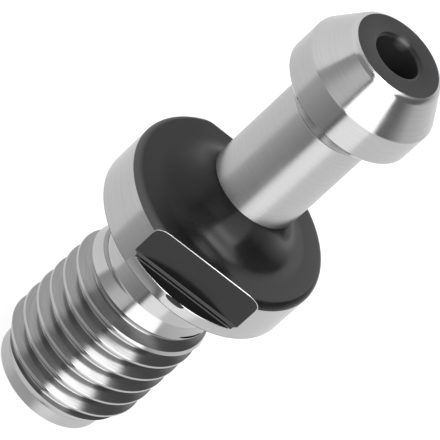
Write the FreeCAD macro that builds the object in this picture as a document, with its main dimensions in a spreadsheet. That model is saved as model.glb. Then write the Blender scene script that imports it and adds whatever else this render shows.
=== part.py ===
import FreeCAD, Part
import Sketcher
import os

# A pull stud: one turned piece of steel with a gripping head, a slim neck, a flange with
# two wrench flats, an undercut, a right-hand screw thread and a coolant bore from end to end.
# The thread's end face lies on z = 0 and the stud's axis is the Z axis, head up.
# The wrench flats face -Y and +Y.

doc = FreeCAD.newDocument("PullStud")

# Driving dimensions in millimetres, angles in degrees, counts in turns
sizes = doc.addObject("Spreadsheet::Sheet", "Sizes")
drivingSizes = [
    ("seatHeight", 25.0, "thread's end face to the flange's seat"),
    ("seatToTop", 32.3, "seat to the head's front face"),
    ("headDia", 15.0, "gripped head"),
    ("headLand", 3.45, "straight land of the head"),
    ("leadLength", 3.93, "length of the lead-in cone, up to the front face"),
    ("leadAngle", 30.0, "lead-in cone, from the axis"),
    ("noseRound", 1.0, "rounding between the lead-in cone and the front face"),
    ("pullAngle", 45.0, "pull cone under the head, from the axis"),
    ("neckDia", 10.0, "ground neck"),
    ("neckRadius", 4.0, "fillet from the neck to the flange"),
    ("flangeDia", 23.0, "flange"),
    ("flangeHeight", 5.9, "flange thickness"),
    ("rimRound", 0.8, "rounded upper rim of the flange"),
    ("acrossFlats", 19.05, "wrench size"),
    ("ledgeHeight", 1.4, "rim left under each flat"),
    ("flatRoot", 0.6, "fillet at the root of each flat"),
    ("undercutDia", 13.2, "undercut below the seat, a little under the thread's root"),
    ("undercutLength", 5.6, "length of the undercut"),
    ("undercutAngle", 30.0, "cone from the undercut to the thread, from the axis"),
    ("threadDia", 15.875, "thread over its crests"),
    ("threadPitch", 2.309, "thread pitch, right hand"),
    ("threadDepth", 1.28, "crest to the flat root"),
    ("flankAngle", 30.0, "each flank, from square to the axis"),
    ("crestFlat", 0.289, "flat left on the crest"),
    ("grooveStart", 0.637, "first groove's centre below the end face, on the +X side"),
    ("dogDia", 12.9, "plain end of the thread"),
    ("dogLength", 1.6, "length of the plain end"),
    ("dogAngle", 30.0, "cone above the plain end, from the axis"),
    ("boreDia", 5.0, "coolant bore"),
]
for row, (alias, number, meaning) in enumerate(drivingSizes, start=1):
    sizes.set("A%d" % row, alias)
    sizes.set("B%d" % row, str(number))
    sizes.setAlias("B%d" % row, alias)
    sizes.set("C%d" % row, meaning)
doc.recompute()

stud = doc.addObject("PartDesign::Body", "Stud")
stud.Label = "pull_stud"
sameSpot = 1e-4  # millimetres within which two edges lie at one place


def value(expression):
    return float(stud.evalExpression(expression))


def originPlane(role):
    return next(item for item in stud.Origin.OriginFeatures if item.Role == role)


def newSketch(name, role):
    sketch = stud.newObject("Sketcher::SketchObject", name)
    sketch.AttachmentSupport = [(originPlane(role), "")]
    sketch.MapMode = "FlatFace"
    return sketch


def drawOutline(sketch, corners):
    # Each corner is (name, across, along): expressions, or None for a corner on an axis
    points = [FreeCAD.Vector(value(across or "0"), value(along or "0"), 0)
              for name, across, along in corners]
    count = len(points)
    for index in range(count):
        sketch.addGeometry(Part.LineSegment(points[index], points[(index + 1) % count]), False)
    for index in range(count):
        sketch.addConstraint(Sketcher.Constraint("Coincident", index, 2, (index + 1) % count, 1))
    for index, (name, across, along) in enumerate(corners):
        placeCorner(sketch, index, name + "Across", "DistanceX", across, -2)
        placeCorner(sketch, index, name + "Along", "DistanceY", along, -1)


def placeCorner(sketch, index, name, kind, expression, axis):
    if expression is None:
        sketch.addConstraint(Sketcher.Constraint("PointOnObject", index, 1, axis))
        return
    number = sketch.addConstraint(Sketcher.Constraint(kind, -1, 1, index, 1, value(expression)))
    sketch.renameConstraint(number, name)
    sketch.setExpression("Constraints." + name, expression)


def addDressUp(kind, name, base, edges, sizeProperty, alias):
    feature = stud.newObject(kind, name)
    feature.Base = (base, edges)
    feature.setExpression(sizeProperty, "Sizes." + alias)
    doc.recompute()
    return feature


def circleAt(feature, diameter, height):
    # name of the full circle of this diameter at this height, both given as expressions
    for number, edge in enumerate(feature.Shape.Edges, start=1):
        curve = edge.Curve
        if (isinstance(curve, Part.Circle) and len(edge.Vertexes) == 1
                and abs(curve.Radius - value(diameter) / 2) < sameSpot
                and abs(curve.Center.z - value(height)) < sameSpot):
            return "Edge%d" % number
    raise RuntimeError("no circle of " + diameter + " on " + feature.Name)


# Heights that several features share
flangeTop = "(Sizes.seatHeight + Sizes.flangeHeight)"
studTop = "(Sizes.seatHeight + Sizes.seatToTop)"
headShoulder = "(" + studTop + " - Sizes.leadLength)"
noseDia = "(Sizes.headDia - 2 * Sizes.leadLength * tan(Sizes.leadAngle))"
headHeel = "(" + headShoulder + " - Sizes.headLand)"
neckTop = "(" + headHeel + " - (Sizes.headDia - Sizes.neckDia) / 2 / tan(Sizes.pullAngle))"
undercutFoot = "(Sizes.seatHeight - Sizes.undercutLength)"

# Turned outside: half of its section, revolved about the stud's axis
section = newSketch("TurnedSection", "XZ_Plane")
drawOutline(section, [
    ("endCentre", None, None),
    ("dogFoot", "Sizes.dogDia / 2", None),
    ("dogTop", "Sizes.dogDia / 2", "Sizes.dogLength"),
    ("threadFoot", "Sizes.threadDia / 2",
     "Sizes.dogLength + (Sizes.threadDia - Sizes.dogDia) / 2 / tan(Sizes.dogAngle)"),
    ("threadTop", "Sizes.threadDia / 2",
     undercutFoot + " - (Sizes.threadDia - Sizes.undercutDia) / 2 / tan(Sizes.undercutAngle)"),
    ("undercutFoot", "Sizes.undercutDia / 2", undercutFoot),
    ("undercutTop", "Sizes.undercutDia / 2", "Sizes.seatHeight"),
    ("seatRim", "Sizes.flangeDia / 2", "Sizes.seatHeight"),
    ("flangeRim", "Sizes.flangeDia / 2", flangeTop),
    ("neckFoot", "Sizes.neckDia / 2", flangeTop),
    ("neckTop", "Sizes.neckDia / 2", neckTop),
    ("headHeel", "Sizes.headDia / 2", headHeel),
    ("headShoulder", "Sizes.headDia / 2", headShoulder),
    ("faceRim", noseDia + " / 2", studTop),
    ("faceCentre", None, studTop),
])
blank = stud.newObject("PartDesign::Revolution", "TurnedBlank")
blank.Profile = section
blank.ReferenceAxis = (section, ["V_Axis"])
blank.Angle = 360.0
doc.recompute()

neckFillet = addDressUp("PartDesign::Fillet", "NeckFillet", blank,
                        [circleAt(blank, "Sizes.neckDia", flangeTop)], "Radius", "neckRadius")
rimFillet = addDressUp("PartDesign::Fillet", "RimRound", neckFillet,
                       [circleAt(neckFillet, "Sizes.flangeDia", flangeTop)], "Radius", "rimRound")
noseFillet = addDressUp("PartDesign::Fillet", "NoseRound", rimFillet,
                        [circleAt(rimFillet, noseDia, studTop)], "Radius", "noseRound")

# Coolant bore, drilled from the head's face to the thread's end
boreSketch = newSketch("BoreCentre", "XY_Plane")
boreSketch.setExpression("AttachmentOffset.Base.z", studTop)
boreSketch.addGeometry(Part.Circle(FreeCAD.Vector(0, 0, 0), FreeCAD.Vector(0, 0, 1),
                                   value("Sizes.boreDia") / 2), False)
boreSketch.addConstraint(Sketcher.Constraint("Coincident", 0, 3, -1, 1))
boreWidth = boreSketch.addConstraint(Sketcher.Constraint("Diameter", 0, value("Sizes.boreDia")))
boreSketch.renameConstraint(boreWidth, "boreWidth")
boreSketch.setExpression("Constraints.boreWidth", "Sizes.boreDia")
doc.recompute()
bore = stud.newObject("PartDesign::Hole", "CoolantBore")
bore.Profile = boreSketch
bore.DepthType = "ThroughAll"
bore.setExpression("Diameter", "Sizes.boreDia")
doc.recompute()

# Two wrench flats milled down to a ledge, the second mirrored from the first
flatSketch = newSketch("FlatOutline", "XY_Plane")
flatSketch.setExpression("AttachmentOffset.Base.z", flangeTop)
drawOutline(flatSketch, [
    ("innerLeft", "-Sizes.flangeDia / 2", "Sizes.acrossFlats / 2"),
    ("innerRight", "Sizes.flangeDia / 2", "Sizes.acrossFlats / 2"),
    ("outerRight", "Sizes.flangeDia / 2", "Sizes.flangeDia / 2 + Sizes.rimRound"),
    ("outerLeft", "-Sizes.flangeDia / 2", "Sizes.flangeDia / 2 + Sizes.rimRound"),
])
firstFlat = stud.newObject("PartDesign::Pocket", "FirstFlat")
firstFlat.Profile = flatSketch
firstFlat.Type = "Length"
firstFlat.setExpression("Length", "Sizes.flangeHeight - Sizes.ledgeHeight")
doc.recompute()
flats = stud.newObject("PartDesign::Mirrored", "WrenchFlats")
flats.Originals = [firstFlat]
flats.MirrorPlane = (originPlane("XZ_Plane"), [""])
stud.Tip = flats
doc.recompute()
ledge = value("Sizes.seatHeight + Sizes.ledgeHeight")
halfFlats = value("Sizes.acrossFlats / 2")
rootEdges = []
for number, edge in enumerate(flats.Shape.Edges, start=1):
    middle = edge.CenterOfMass
    if (isinstance(edge.Curve, Part.Line) and abs(middle.z - ledge) < sameSpot
            and abs(abs(middle.y) - halfFlats) < sameSpot):
        rootEdges.append("Edge%d" % number)
flatRoots = addDressUp("PartDesign::Fillet", "FlatRoots", flats, rootEdges, "Radius", "flatRoot")

# Thread: one groove swept along a helix, from clear of the plain end to clear of the undercut
cutterReach = 0.1
halfMouth = "(Sizes.threadPitch - Sizes.crestFlat) / 2"
halfRoot = "(" + halfMouth + " - Sizes.threadDepth * tan(Sizes.flankAngle))"
halfOuter = "(" + halfMouth + " + %s * tan(Sizes.flankAngle))" % cutterReach
rootRadius = "(Sizes.threadDia / 2 - Sizes.threadDepth)"
outerRadius = "(Sizes.threadDia / 2 + %s)" % cutterReach
undercutMiddle = "(" + undercutFoot + " + Sizes.undercutLength / 2)"
groove = newSketch("GrooveSection", "XZ_Plane")
drawOutline(groove, [
    ("rootLow", rootRadius, "-Sizes.grooveStart - " + halfRoot),
    ("outerLow", outerRadius, "-Sizes.grooveStart - " + halfOuter),
    ("outerHigh", outerRadius, "-Sizes.grooveStart + " + halfOuter),
    ("rootHigh", rootRadius, "-Sizes.grooveStart + " + halfRoot),
])
doc.recompute()
thread = stud.newObject("PartDesign::SubtractiveHelix", "Thread")
thread.Profile = groove
thread.ReferenceAxis = (groove, ["V_Axis"])
thread.HasBeenEdited = True
thread.Mode = "pitch-turns-angle"
thread.setExpression("Pitch", "Sizes.threadPitch")
thread.setExpression("Turns", "(" + undercutMiddle + " + Sizes.grooveStart) / Sizes.threadPitch")
doc.recompute()
stud.Tip = thread
doc.recompute()

for item in doc.Objects:
    if "Invalid" in item.State or "Error" in item.State:
        raise RuntimeError(item.Name + " failed: " + str(item.State))
shape = stud.Shape
if shape.isNull() or not shape.isValid() or len(shape.Solids) != 1:
    raise RuntimeError("the stud is not one valid solid")
print("volume %.1f mm3, height %.2f mm" % (shape.Volume, shape.BoundBox.ZLength))

os.makedirs("parts", exist_ok=True)
shape.exportStep("parts/" + stud.Label + ".step")
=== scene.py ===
import math

import bmesh
import bpy
from mathutils import Matrix, Vector


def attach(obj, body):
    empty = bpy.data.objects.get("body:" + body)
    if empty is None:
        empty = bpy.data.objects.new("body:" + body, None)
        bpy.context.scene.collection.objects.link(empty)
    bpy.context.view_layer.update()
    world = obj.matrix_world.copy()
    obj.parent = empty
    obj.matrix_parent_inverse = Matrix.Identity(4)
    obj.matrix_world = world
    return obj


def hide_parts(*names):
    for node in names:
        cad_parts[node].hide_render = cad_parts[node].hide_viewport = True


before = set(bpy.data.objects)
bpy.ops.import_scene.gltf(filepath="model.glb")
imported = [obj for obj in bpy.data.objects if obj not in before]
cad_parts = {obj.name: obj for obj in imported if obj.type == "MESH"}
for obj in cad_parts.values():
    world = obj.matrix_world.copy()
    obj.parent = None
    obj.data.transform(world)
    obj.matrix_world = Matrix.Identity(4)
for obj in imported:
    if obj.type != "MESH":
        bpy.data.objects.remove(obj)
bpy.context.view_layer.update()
print("frame loaded:", sorted(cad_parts))

metresPerMm = 0.001     # the stud is modelled in millimetres and made metres at the end
cameraSide = -106.2     # bearing of the camera round the stud, in degrees
groundFinish, blackFinish, threadFinish, milledFinish = 0, 1, 2, 3    # order of the materials
creaseAngle = 22        # degrees: sharper edges are shaded as edges
slack, near, touching = 0.01, 1e-3, 1e-4    # tolerances in millimetres


def wireFrom(bm, points, closed):
    verts = [bm.verts.new((across, 0, up)) for across, up in points]
    edges = [bm.edges.new(pair) for pair in zip(verts, verts[1:])]
    if closed:
        edges.append(bm.edges.new((verts[-1], verts[0])))
    return verts, edges


def radiusOf(spot):
    return math.hypot(spot.x, spot.y)


def tangentOf(degrees):
    return math.tan(math.radians(degrees))


def bevel(bm, parts, width, segments, affect="EDGES", clamp=True):
    return bmesh.ops.bevel(bm, geom=parts, offset=width, offset_type="OFFSET", segments=segments,
                           profile=0.5, affect=affect, clamp_overlap=clamp, material=-1)


def roundRing(bm, radius, height, rounding, turn, segments):
    # rounds the circular edge at this radius and height; turn is the bend of the section there
    ring = [edge for edge in bm.edges
            if all(abs(vert.co.z - height) < near and abs(radiusOf(vert.co) - radius) < near
                   for vert in edge.verts)]
    bevel(bm, ring, rounding * tangentOf(turn / 2), segments)


def tidyShell(bm):
    bmesh.ops.remove_doubles(bm, verts=bm.verts, dist=touching)
    bmesh.ops.recalc_face_normals(bm, faces=bm.faces)


def newObject(bm, name, finishes=()):
    mesh = bpy.data.meshes.new(name)
    bm.to_mesh(mesh)
    bm.free()
    for finish in finishes:
        mesh.materials.append(finish)
    made = bpy.data.objects.new(name, mesh)
    bpy.context.scene.collection.objects.link(made)
    return made


def combine(body, tool, operation):
    cut = body.modifiers.new(operation.lower(), "BOOLEAN")
    cut.operation = operation
    cut.solver = "EXACT"
    cut.object = tool
    cut.material_mode = "INDEX"
    graph = bpy.context.evaluated_depsgraph_get()
    mesh = bpy.data.meshes.new_from_object(body.evaluated_get(graph))
    body.modifiers.clear()
    oldMeshes = (body.data, tool.data)
    body.data = mesh
    bpy.data.objects.remove(tool)
    for old in oldMeshes:
        bpy.data.meshes.remove(old)


stud = {
    "top": 57.3, "bore": 2.5, "columns": 288,
    "headRadius": 7.5, "shoulder": 53.37, "heel": 49.92, "leadAngle": 30, "gripAngle": 45,
    "faceRadius": 4.92, "noseAngle": 28.5,
    "neckRadius": 5.0, "neckTop": 47.42,
    "flangeRadius": 11.5, "flangeTop": 30.9, "seat": 25.0,
    "undercutRadius": 6.6, "undercutFoot": 19.4, "undercutAngle": 22,
    "endRadius": 6.45, "endTop": 1.6, "leadIn": 30,
    "clearRadius": 8.3,      # the blank is this thick where the thread's own shape takes over
    # radius of each rounded edge
    "noseRound": 1.0, "shoulderRound": 0.35, "heelRound": 0.15, "neckRound": 0.25,
    "neckFillet": 4.0, "rimRound": 0.8, "footRound": 0.12, "undercutFillet": 0.2,
    "ridgeRound": 0.12, "leadRound": 0.3, "endRound": 0.2, "boreRound": 0.15, "mouthRound": 0.45,
}


def turnedBlank(finishes):
    # the lead cone and the blunter nose meet a little below the front face
    leadSlope, noseSlope = tangentOf(stud["leadAngle"]), tangentOf(stud["noseAngle"])
    coneAtTop = stud["headRadius"] - (stud["top"] - stud["shoulder"]) * leadSlope
    noseWidth = (coneAtTop - stud["faceRadius"]) / (1 - noseSlope * leadSlope)
    noseRadius = stud["faceRadius"] + noseWidth
    noseHeight = stud["top"] - noseWidth * noseSlope
    bm = bmesh.new()
    verts, edges = wireFrom(bm, [
        (stud["bore"], 0),
        (stud["endRadius"], 0),
        (stud["endRadius"], stud["endTop"]),
        (stud["clearRadius"],
         stud["endTop"] + (stud["clearRadius"] - stud["endRadius"]) / tangentOf(stud["leadIn"])),
        (stud["clearRadius"], stud["undercutFoot"]
         - (stud["clearRadius"] - stud["undercutRadius"]) / tangentOf(stud["undercutAngle"])),
        (stud["undercutRadius"], stud["undercutFoot"]),
        (stud["undercutRadius"], stud["seat"]),
        (stud["flangeRadius"], stud["seat"]),
        (stud["flangeRadius"], stud["flangeTop"]),
        (stud["neckRadius"], stud["flangeTop"]),
        (stud["neckRadius"], stud["neckTop"]),
        (stud["headRadius"], stud["heel"]),
        (stud["headRadius"], stud["shoulder"]),
        (noseRadius, noseHeight),
        (stud["faceRadius"], stud["top"]),
        (stud["bore"], stud["top"]),
    ], closed=True)
    bmesh.ops.spin(bm, geom=verts + edges, cent=(0, 0, 0), axis=(0, 0, 1), dvec=(0, 0, 0),
                   angle=2 * math.pi, steps=stud["columns"], use_merge=True,
                   use_normal_flip=False, use_duplicate=False)
    tidyShell(bm)
    # radius and height of each edge, its rounding, the bend there and the number of segments
    for ring in (
        (stud["neckRadius"], stud["flangeTop"], stud["neckFillet"], 90, 16),
        (stud["flangeRadius"], stud["flangeTop"], stud["rimRound"], 90, 9),
        (noseRadius, noseHeight, stud["noseRound"], 90 - stud["leadAngle"] - stud["noseAngle"], 6),
        (stud["headRadius"], stud["shoulder"], stud["shoulderRound"], stud["leadAngle"], 3),
        (stud["headRadius"], stud["heel"], stud["heelRound"], stud["gripAngle"], 3),
        (stud["neckRadius"], stud["neckTop"], stud["neckRound"], stud["gripAngle"], 3),
        (stud["flangeRadius"], stud["seat"], stud["footRound"], 90, 3),
        (stud["undercutRadius"], stud["seat"], stud["undercutFillet"], 90, 4),
        (stud["undercutRadius"], stud["undercutFoot"], stud["ridgeRound"],
         stud["undercutAngle"], 2),
        (stud["endRadius"], stud["endTop"], stud["leadRound"], stud["leadIn"], 2),
        (stud["endRadius"], 0, stud["endRound"], 90, 3),
        (stud["bore"], 0, stud["boreRound"], 90, 3),
        (stud["bore"], stud["top"], stud["mouthRound"], 90, 7),
    ):
        roundRing(bm, *ring)
    tidyShell(bm)
    for face in bm.faces:
        face.material_index = finishAt(face.calc_center_median())
    return newObject(bm, "pull_stud_body", finishes)


def finishAt(spot):
    # black oxide stays in the bore, on the front face and on the flange's top with its fillet;
    # the black finish on the flange's lower rounded edge is a fine painted shade line
    radius, height = radiusOf(spot), spot.z
    mouthWidth, mouthDepth, lineWidth = 0.2, 0.3, 0.1
    inBore = radius < stud["bore"] + mouthWidth and height < stud["top"] - mouthDepth
    frontFace = radius < stud["faceRadius"] and height > stud["top"] - mouthDepth
    lowest, highest = stud["flangeTop"] - stud["rimRound"], stud["flangeTop"] + stud["neckFillet"]
    flangeFace = lowest < height < highest and radius > stud["neckRadius"] - slack
    # painted shade: a fine dark line on the rounding of the flange's lower edge
    shadeLineOnEdge = (stud["seat"] - slack < height < stud["seat"] + stud["footRound"]
                 and radius > stud["flangeRadius"] - lineWidth)
    return blackFinish if inBore or frontFace or flangeFace or shadeLineOnEdge else groundFinish


flats = {
    "half": 9.525, "ledge": 26.4,
    "stepUp": 0.42, "stepOut": 0.24, "corner": 0.16,    # the small step in the flat's root
    "wornEdge": 0.05,
    "reach": 9.0, "outside": 13.0, "above": 2.0,        # how far the cutter reaches past the flange
}


def flatCutter(side, finishes):
    # one long bar; the flat ends in a small step, so that two fine lines run above the ledge
    stepTop, stepSide = flats["ledge"] + flats["stepUp"], flats["half"] + flats["stepOut"]
    cutterTop = stud["flangeTop"] + flats["above"]
    bm = bmesh.new()
    outline = [bm.verts.new((-flats["reach"], side * across, up)) for across, up in (
        (flats["half"], cutterTop), (flats["half"], stepTop), (stepSide, stepTop),
        (stepSide, flats["ledge"]), (flats["outside"], flats["ledge"]),
        (flats["outside"], cutterTop))]
    end = bm.faces.new(outline)
    pushed = bmesh.ops.extrude_face_region(bm, geom=[end])["geom"]
    bmesh.ops.translate(bm, vec=(2 * flats["reach"], 0, 0),
                        verts=[part for part in pushed if isinstance(part, bmesh.types.BMVert)])
    stepEdges = [edge for edge in bm.edges
                 if all(vert.co.z < stepTop + slack and abs(vert.co.y) < stepSide + slack
                        for vert in edge.verts)
                 and abs(edge.verts[0].co.x - edge.verts[1].co.x) > flats["reach"]]
    bevel(bm, stepEdges, flats["corner"], 5)
    tidyShell(bm)
    for face in bm.faces:
        face.material_index = milledFinish
    return newObject(bm, "flat_cutter", finishes)


def wearEdges(body, inside, outside, width, sheltered, finish):
    # breaks the edge between two finishes: a fine worn line along it, but not at the
    # sheltered heights
    low, high = sheltered
    bm = bmesh.new()
    bm.from_mesh(body.data)
    outline = [edge for edge in bm.edges
               if {face.material_index for face in edge.link_faces} == {inside, outside}
               and not low < (edge.verts[0].co.z + edge.verts[1].co.z) / 2 < high]
    for face in bevel(bm, outline, width, 2, clamp=False)["faces"]:
        face.material_index = finish
    bm.to_mesh(body.data)
    bm.free()


# dents in the steel, made dark with the black milled finish as painted shade: bearing from the
# camera's side, height, radius from the axis, then the mark's own length, height and depth
marks = {
    "underLedge": (14.2, 26.25, 11.5, 3.5, 0.76, 0.07),
    "leftNick": (4.5, 17.62, 7.4, 0.22, 0.35, 0.12),
    "rightNick": (28.0, 18.2, 7.2, 0.35, 0.2, 0.06),
    "ridge": (70.0, 18.33, 7.12, 6.4, 0.26, 0.35),
}


def markCutter(finishes):
    bm = bmesh.new()
    for bearing, up, radius, length, height, depth in marks.values():
        bmesh.ops.create_icosphere(bm, subdivisions=4, radius=1, matrix=(
            Matrix.Rotation(math.radians(cameraSide + bearing), 4, "Z")
            @ Matrix.Translation((radius, 0, up))
            @ Matrix.Diagonal((depth, length / 2, height / 2, 1))))
    # the dents are real shape; their black milled finish is painted shade in them
    for face in bm.faces:
        face.material_index = milledFinish
    return newObject(bm, "mark_cutter", finishes)


thread = {
    "pitch": 2.309, "crestRadius": 7.9375, "depth": 1.28, "crestFlat": 0.289, "flankAngle": 30,
    "grooveStart": -0.637,   # height of a groove's middle on the +X side
    "crestRound": 0.07, "rootRound": 0.25,
    "columns": 192, "turns": 12, "turnsBelow": 2, "lowest": -1.0, "highest": 22.0,
    "headScale": 3.0, "headLift": 45.0,    # the broad head above the thread keeps the flange
    "crestBand": 0.03,       # the ground steel of the crests reaches this far down
}


def threadedRod(finishes):
    # a long right-hand thread, cut off square at both ends, with a broad head that keeps the rest
    halfMouth = (thread["pitch"] - thread["crestFlat"]) / 2
    halfRoot = halfMouth - thread["depth"] * tangentOf(thread["flankAngle"])
    rootRadius = thread["crestRadius"] - thread["depth"]
    start = thread["grooveStart"] - thread["turnsBelow"] * thread["pitch"]
    bm = bmesh.new()
    verts, edges = wireFrom(bm, [
        (rootRadius, start),
        (rootRadius, start + halfRoot),
        (thread["crestRadius"], start + halfMouth),
        (thread["crestRadius"], start + thread["pitch"] - halfMouth),
        (rootRadius, start + thread["pitch"] - halfRoot),
        (rootRadius, start + thread["pitch"]),
    ], closed=False)
    halfTurn = tangentOf((90 - thread["flankAngle"]) / 2)
    for corners, rounding in (([verts[1], verts[4]], thread["rootRound"]),
                              ([verts[2], verts[3]], thread["crestRound"])):
        bevel(bm, corners, rounding * halfTurn, 3, affect="VERTICES")
    bmesh.ops.spin(bm, geom=bm.verts[:] + bm.edges[:], cent=(0, 0, 0), axis=(0, 0, 1),
                   dvec=(0, 0, thread["pitch"] / thread["columns"]),
                   angle=2 * math.pi * thread["turns"], steps=thread["columns"] * thread["turns"],
                   use_merge=False, use_normal_flip=False, use_duplicate=False)
    bmesh.ops.remove_doubles(bm, verts=bm.verts, dist=near)
    for height, below in ((thread["lowest"], True), (thread["highest"], False)):
        bmesh.ops.bisect_plane(bm, geom=bm.verts[:] + bm.edges[:] + bm.faces[:], dist=1e-5,
                               plane_co=(0, 0, height), plane_no=(0, 0, 1),
                               clear_inner=below, clear_outer=not below)
    bmesh.ops.contextual_create(bm, geom=openRim(bm, thread["lowest"]))
    rim = openRim(bm, thread["highest"])
    for scale, lift in ((thread["headScale"], 0.0), (1.0, thread["headLift"])):
        grown = bmesh.ops.extrude_edge_only(bm, edges=rim)["geom"]
        moved = [part for part in grown if isinstance(part, bmesh.types.BMVert)]
        bmesh.ops.scale(bm, vec=(scale, scale, 1), verts=moved)
        bmesh.ops.translate(bm, vec=(0, 0, lift), verts=moved)
        rim = [part for part in grown if isinstance(part, bmesh.types.BMEdge)
               and all(vert in moved for vert in part.verts)]
    bmesh.ops.contextual_create(bm, geom=rim)
    tidyShell(bm)
    for face in bm.faces:
        onCrest = radiusOf(face.calc_center_median()) > thread["crestRadius"] - thread["crestBand"]
        face.material_index = groundFinish if onCrest else threadFinish
    return newObject(bm, "threaded_rod", finishes)


def openRim(bm, height):
    return [edge for edge in bm.edges
            if edge.is_boundary and all(abs(vert.co.z - height) < touching for vert in edge.verts)]


def fill(tree, node, inputs):
    # a value is set on its socket, another node's output is linked to it
    for name, value in inputs.items():
        if isinstance(value, bpy.types.NodeSocket):
            tree.links.new(value, node.inputs[name])
        else:
            node.inputs[name].default_value = value


def addNode(tree, kind, inputs=None, **settings):
    node = tree.nodes.new(kind)
    for name, value in settings.items():
        setattr(node, name, value)
    fill(tree, node, inputs or {})
    return node


def newMaterial(name):
    made = bpy.data.materials.new(name)
    made.use_nodes = True
    return made, made.node_tree, made.node_tree.nodes["Principled BSDF"]


def placesOn(tree, wobble):
    # where a point lies on the stud; patterns on "rings" run round the axis
    whole = addNode(tree, "ShaderNodeTexCoord").outputs["Object"]
    split = addNode(tree, "ShaderNodeSeparateXYZ", {0: whole})
    across, height = split.outputs["X"], split.outputs["Z"]
    flat = addNode(tree, "ShaderNodeCombineXYZ", {"X": across, "Y": split.outputs["Y"]})
    radius = addNode(tree, "ShaderNodeVectorMath", {0: flat.outputs[0]}, operation="LENGTH")
    drift = addNode(tree, "ShaderNodeMath", {0: across, 1: wobble}, operation="MULTIPLY")
    rings = addNode(tree, "ShaderNodeCombineXYZ",
                    {"X": radius.outputs["Value"], "Y": height, "Z": drift.outputs[0]})
    return {"whole": whole, "rings": rings.outputs[0], "radius": radius.outputs["Value"],
            "across": across, "height": height}


def spread(tree, source, low, high):
    # a pattern's 0..1 as a shade or roughness between low and high
    return addNode(tree, "ShaderNodeMapRange", {"Value": source, "From Min": 0.3, "From Max": 0.7,
                                                "To Min": low, "To Max": high}).outputs[0]


def rise(tree, source, start, full, amount):
    # 0 where the source is at start, the whole amount where it is at full; both in millimetres
    return addNode(tree, "ShaderNodeMapRange",
                   {"Value": source, "From Min": start * metresPerMm,
                    "From Max": full * metresPerMm, "To Max": amount}).outputs[0]


def calculate(tree, operation, first, second):
    return addNode(tree, "ShaderNodeMath", {0: first, 1: second}, operation=operation).outputs[0]


def greyFrom(tree, shade):
    return addNode(tree, "ShaderNodeCombineColor",
                   {"Red": shade, "Green": shade, "Blue": shade}).outputs[0]


grain = {"wobble": 0.05, "lineDetail": 4.0, "lineRough": 0.6}


def toolMarks(tree, look):
    # adds fine lines round the axis, soft clouds, and the bump of the lines
    found = placesOn(tree, grain["wobble"])
    found["lines"] = addNode(tree, "ShaderNodeTexNoise",
                             {"Vector": found["rings"], "Scale": look["lines"],
                              "Detail": grain["lineDetail"],
                              "Roughness": grain["lineRough"]}).outputs[0]
    found["clouds"] = addNode(tree, "ShaderNodeTexNoise",
                              {"Vector": found["whole"], "Scale": look["clouds"],
                               "Detail": look["cloudDetail"]}).outputs[0]
    found["bump"] = addNode(tree, "ShaderNodeBump",
                            {"Height": found["lines"], "Strength": 1.0,
                             "Distance": look["depth"]}).outputs[0]
    return found


steelLook = {
    "ground": {"shade": (0.56, 0.60), "rough": (0.12, 0.18), "lines": 5200, "depth": 0.5e-6,
               "clouds": 260, "cloudDetail": 3.0, "stretch": 0.3,
               # where the finish is coarser, and by how much
               "coarse": (("radius", 5.2, 5.1, 0.1), ("height", 1.8, 1.5, 0.2))},
    "thread": {"shade": (0.28, 0.35), "rough": (0.16, 0.22), "lines": 6500, "depth": 0.45e-6,
               "clouds": 260, "cloudDetail": 3.0, "stretch": 0.2, "coarse": ()},
}


def steelMaterial(name, look):
    made, tree, shader = newMaterial(name)
    found = toolMarks(tree, look)
    rough = spread(tree, found["clouds"], *look["rough"])
    for measure, start, full, amount in look["coarse"]:
        rough = calculate(tree, "ADD", rough, rise(tree, found[measure], start, full, amount))
    tangent = addNode(tree, "ShaderNodeTangent", direction_type="RADIAL", axis="Z")
    shade = greyFrom(tree, spread(tree, found["lines"], *look["shade"]))
    fill(tree, shader, {"Base Color": shade, "Roughness": rough, "Normal": found["bump"],
                        "Tangent": tangent.outputs[0],
                        "Metallic": 1.0, "Anisotropic": look["stretch"]})
    return made


blackLook = {
    "oxide": {"shade": (0.006, 0.010), "rough": (0.18, 0.25), "lines": 4000, "depth": 0.8e-6,
              "clouds": 420, "cloudDetail": 5.0, "index": 1.36},
    "milled": {"shade": (0.002, 0.004), "rough": (0.16, 0.22), "lines": 4000, "depth": 0.6e-6,
               "clouds": 420, "cloudDetail": 5.0, "index": 1.45},
}
# oxide that differs by place, and a painted highlight at the bore's mouth
oxideWearAndHighlight = {
    # each is the place where it starts, the place where it is full, and how much it adds
    "rim": (10.8, 11.3, 1.0), "rimSide": (2.0, -4.0, 0.055),    # greyer on one side of the rim
    "dullSide": (-3.0, -6.5, 0.25),                 # the same side of the flange is duller
    "bore": (2.8, 2.6, 0.02),                       # the oxide in the bore is a little greyer
    "highlightAt": (0.1, 2.6, 56.9), "spot": (0.9, 0.2, 0.07),    # painted highlight at the far side of the bore's mouth
}


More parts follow.
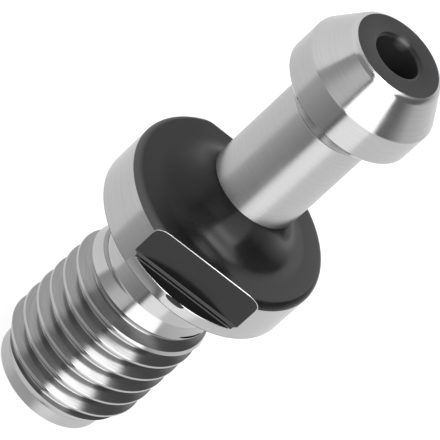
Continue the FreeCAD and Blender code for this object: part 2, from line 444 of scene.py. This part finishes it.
def blackMaterial(name, look, wearAndHighlight):
    made, tree, shader = newMaterial(name)
    found = toolMarks(tree, look)
    shade = spread(tree, found["clouds"], *look["shade"])
    rough = spread(tree, found["clouds"], *look["rough"])
    # the oxide's changes by place, and the painted highlight near the bore's mouth
    if wearAndHighlight:
        worn = calculate(tree, "MULTIPLY", rise(tree, found["radius"], *wearAndHighlight["rim"]),
                         rise(tree, found["across"], *wearAndHighlight["rimSide"]))
        # painted highlight: the oxide is made lighter round a point at the far side of the bore's
        # mouth
        highlightAt = Vector(wearAndHighlight["highlightAt"]) * metresPerMm
        away = addNode(tree, "ShaderNodeVectorMath", {0: found["whole"], 1: highlightAt},
                       operation="DISTANCE").outputs["Value"]
        for more in (worn, rise(tree, found["radius"], *wearAndHighlight["bore"]),
                     rise(tree, away, *wearAndHighlight["spot"])):
            shade = calculate(tree, "ADD", shade, more)
        rough = calculate(tree, "ADD", rough, rise(tree, found["across"], *wearAndHighlight["dullSide"]))
    fill(tree, shader, {"Base Color": greyFrom(tree, shade), "Roughness": rough,
                        "Normal": found["bump"], "IOR": look["index"]})
    return made


studFinishes = (steelMaterial("groundSteel", steelLook["ground"]),
                blackMaterial("blackOxide", blackLook["oxide"], oxideWearAndHighlight),
                steelMaterial("cutThreadSteel", steelLook["thread"]),
                blackMaterial("milledBlack", blackLook["milled"], None))
print("finishes mixed:", len(studFinishes))

body = turnedBlank(studFinishes)
print("blank turned:", len(body.data.polygons), "faces")
for side in (1, -1):
    combine(body, flatCutter(side, studFinishes), "DIFFERENCE")
flatSides = (flats["ledge"] + slack, stud["flangeTop"] - stud["rimRound"])
for old in (groundFinish, blackFinish):
    wearEdges(body, milledFinish, old, flats["wornEdge"], flatSides, groundFinish)
print("flats milled:", len(body.data.polygons), "faces")
combine(body, threadedRod(studFinishes), "INTERSECT")
combine(body, markCutter(studFinishes), "DIFFERENCE")
print("thread and marks cut:", len(body.data.polygons), "faces")

body.data.transform(Matrix.Scale(metresPerMm, 4))
body.data.polygons.foreach_set("use_smooth", [True] * len(body.data.polygons))
body.data.set_sharp_from_angle(angle=math.radians(creaseAngle))
body.data.update()
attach(body, "root")
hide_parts("pull_stud")
# broad faces keep their slope beside the narrow rounded edges
evenNormals = body.modifiers.new("even_normals", "WEIGHTED_NORMAL")
evenNormals.mode = "FACE_AREA"
evenNormals.keep_sharp = True
print("stud placed in the frame and shaded")


floorLook = {"size": 3.0, "shade": 0.25, "rough": 0.8, "glow": 0.82}


def makeFloor():
    bm = bmesh.new()
    bmesh.ops.create_grid(bm, x_segments=1, y_segments=1, size=floorLook["size"])
    made, tree, shader = newMaterial("paleFloor")
    floor = newObject(bm, "floor", [made])
    fill(tree, shader, {"Base Color": (floorLook["shade"],) * 3 + (1,),
                        "Roughness": floorLook["rough"], "Emission Color": (1, 1, 1, 1),
                        "Emission Strength": floorLook["glow"]})
    floor.visible_glossy = False     # the steel mirrors the studio below it, not the table
    floor.visible_shadow = False


toFront, toRight, up = (1, 0, 0), (0, 1, 0), (0, 0, 1)    # ways that a mirrored ray can point
studio = {
    # brightness along one way: (share of the ray that points this way, brightness)
    "leftSide": ((-0.75, 0.80), (-0.5, 0.82), (-0.2, 0.88), (0.35, 0.98), (0.6, 1.0),
                 (0.74, 0.98), (0.86, 0.85)),
    "rightSide": ((-0.5, 0.86), (-0.35, 0.84), (-0.2, 0.80), (0.0, 0.72), (0.24, 0.62),
                  (0.38, 0.36), (0.5, 0.18), (0.62, 0.16)),
    "rightWay": (0.25, 0, 1), "rightShift": 0.175,    # it is measured upward and a little forward
    "behind": ((0.2, 0.85), (0.4, 1.2), (0.52, 1.65), (0.64, 1.5), (0.74, 1.3), (0.9, 1.0)),
    "cardLow": ((-0.7, 0.5), (-0.43, 0.385), (-0.2, 0.32), (0.0, 0.275)),
    "cardMiddle": ((-0.82, 0.38), (-0.66, 0.44), (-0.46, 0.68), (-0.24, 0.74), (0.0, 0.65)),
    "cardHigh": 0.32,
    "cardBottom": 0.55,
    "cardEdge": 0.08,
    "strip": ((-0.58, 1.2), (-0.34, 1.4), (-0.12, 1.7), (0.30, 2.0), (0.48, 2.4), (0.72, 4.9),
              (0.90, 2.6), (0.985, 5.5)),
    # borders: the way they are measured, the share where the fade starts and where it ends
    "toBehind": (toRight, 0.0, 0.06),
    "toRightSide": ((0, 1, 0.15), 0.42, 0.52),
    "toCard": ((1.95, 1, 0), -0.08, 0.08),
    "toCardAbove": ((1.143, 1, 0.54), -0.06, 0.06),
    "toCardMiddle": (up, -0.36, -0.04),
    "toCardBottom": (up, -0.62, -0.8),
    "toCardHigh": (up, 0.475, 0.52),
    "toCardEdge": ((0, 1, 0.13), -0.01, 0.03),
    "toStrip": ((0, 1, 0.13), 0.1, 0.14),
    "pastStrip": ((-1.55, 1, 0), -0.06, 0.06),
    "pastStripBelow": ((-0.416, 1, -0.59), -0.07, 0.03),
    "pastStripBehind": (toFront, -0.22, -0.38),
}


def makeStudio():
    world = bpy.data.worlds.new("studio")
    bpy.context.scene.world = world
    world.use_nodes = True
    tree = world.node_tree
    place = addNode(tree, "ShaderNodeTexCoord").outputs["Generated"]
    ray = addNode(tree, "ShaderNodeMapping",
                  {"Vector": place, "Rotation": (0, 0, math.radians(-cameraSide))}).outputs[0]

    def share(way):
        return addNode(tree, "ShaderNodeVectorMath", {0: ray, 1: way},
                       operation="DOT_PRODUCT").outputs["Value"]

    def border(name):
        # 0 before the border and 1 past it
        way, start, end = studio[name]
        return addNode(tree, "ShaderNodeMapRange",
                       {"Value": share(way), "From Min": start, "From Max": end},
                       interpolation_type="SMOOTHSTEP").outputs[0]

    def ramp(way, points, shift=0.0):
        # shares run from -1 to 1, the colour ramp from 0 to 1
        along = addNode(tree, "ShaderNodeMapRange",
                        {"Value": share(way), "From Min": -1 - shift, "From Max": 1 - shift})
        node = addNode(tree, "ShaderNodeValToRGB", {"Fac": along.outputs[0]})
        stops = node.color_ramp.elements
        while len(stops) < len(points):
            stops.new(1.0)
        for stop, (at, brightness) in zip(stops, points):
            stop.position = (at + 1) / 2
            stop.color = (brightness,) * 3 + (1,)
        return node.outputs["Color"]

    def blend(base, value, mask):
        # base where the mask is 0, value where it is 1
        return addNode(tree, "ShaderNodeMix", {"Factor": mask, "A": base, "B": value},
                       data_type="FLOAT").outputs["Result"]

    def without(mask, taken):
        return calculate(tree, "MULTIPLY", mask, calculate(tree, "SUBTRACT", 1.0, taken))

    inCard = calculate(tree, "MAXIMUM", border("toCard"), border("toCardAbove"))
    inStrip = border("toStrip")
    pastStrip = calculate(tree, "MINIMUM", border("pastStrip"), border("pastStripBelow"))
    pastStrip = calculate(tree, "MAXIMUM", pastStrip, border("pastStripBehind"))
    level = blend(ramp(up, studio["leftSide"]), ramp(up, studio["behind"]), border("toBehind"))
    level = blend(level, ramp(studio["rightWay"], studio["rightSide"], studio["rightShift"]),
                  border("toRightSide"))
    card = blend(ramp(toRight, studio["cardLow"]), ramp(toRight, studio["cardMiddle"]),
                 border("toCardMiddle"))
    card = blend(card, studio["cardBottom"], border("toCardBottom"))
    card = blend(card, studio["cardHigh"], border("toCardHigh"))
    card = blend(card, studio["cardEdge"], border("toCardEdge"))
    level = blend(level, card, without(inCard, inStrip))
    level = blend(level, ramp(up, studio["strip"]), without(inStrip, pastStrip))
    fill(tree, tree.nodes["Background"], {"Strength": level, "Color": (1, 1, 1, 1)})


view = {"aim": (-0.0308, 0.0089, 28.909), "distance": 434.07, "elevation": 35.396,
        "roll": 47.333, "lens": 358.556, "sensor": 36, "nearest": 0.01, "farthest": 50}


def makeCamera():
    azimuth, elevation = math.radians(cameraSide), math.radians(view["elevation"])
    outward = Vector((math.cos(azimuth) * math.cos(elevation),
                      math.sin(azimuth) * math.cos(elevation), math.sin(elevation)))
    data = bpy.data.cameras.new("camera")
    data.sensor_width = view["sensor"]
    data.lens = view["lens"]
    data.clip_start, data.clip_end = view["nearest"], view["farthest"]
    camera = bpy.data.objects.new("camera", data)
    bpy.context.scene.collection.objects.link(camera)
    turned = (outward.to_track_quat("Z", "Y").to_matrix().to_4x4()
              @ Matrix.Rotation(math.radians(view["roll"]), 4, "Z"))
    spot = (Vector(view["aim"]) + outward * view["distance"]) * metresPerMm
    camera.matrix_world = Matrix.Translation(spot) @ turned
    bpy.context.scene.camera = camera


makeFloor()
makeStudio()
makeCamera()
bpy.context.scene.view_settings.view_transform = "Standard"
bpy.context.scene.view_settings.look = "None"
print("stage, light and camera set")
